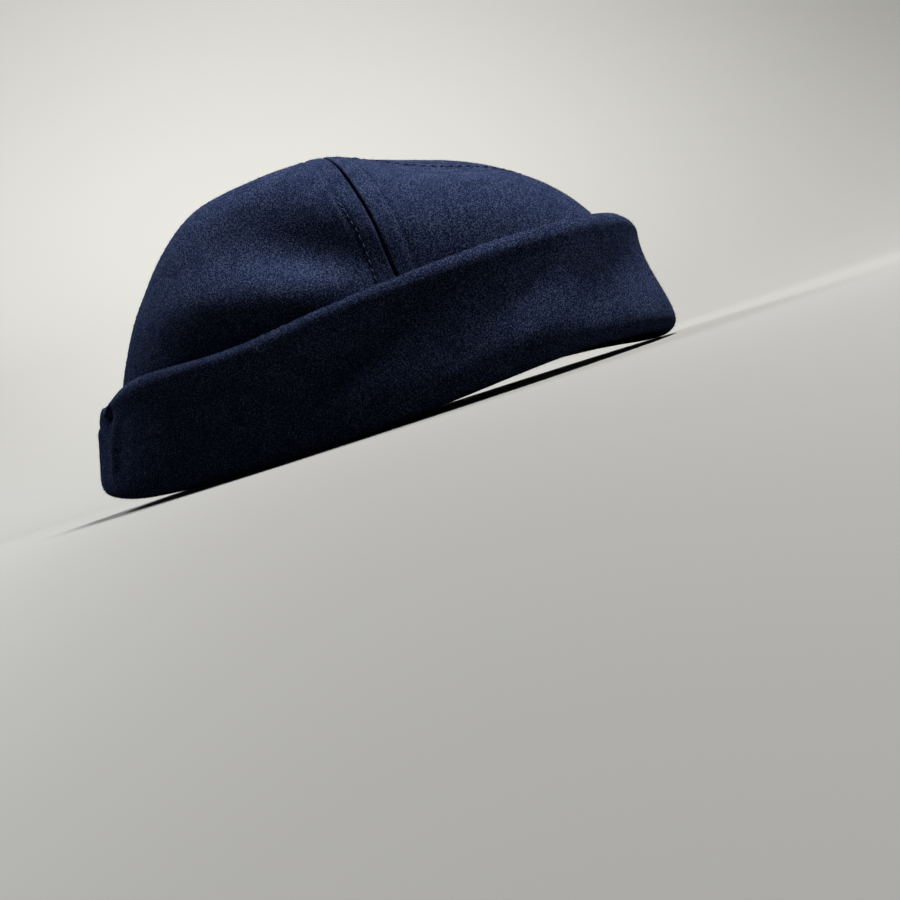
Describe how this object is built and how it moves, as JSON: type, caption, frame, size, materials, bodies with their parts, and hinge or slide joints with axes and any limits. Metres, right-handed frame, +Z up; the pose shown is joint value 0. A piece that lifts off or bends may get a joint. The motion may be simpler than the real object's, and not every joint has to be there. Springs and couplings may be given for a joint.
{
  "type": "fisherman beanie",
  "caption": "Fisherman beanie in navy wool melton: a close crown of sewn gores and a doubled, turned-up cuff",
  "frame": {"origin": "middle of the cap's plan, on the surface that it rests on", "axes": "+Z up, -Y towards the front of the cap, +X towards the wearer's left"},
  "size_m": [0.1808, 0.226, 0.1033],
  "materials": {
    "melton": "navy wool melton, felted and fuzzy, quite matt"
  },
  "bodies": {
    "root": {"gore_front_right": "melton", "gore_rear_right": "melton", "gore_front_left": "melton", "gore_rear_left": "melton", "cuff": "melton"}
  },
  "joints": []
}
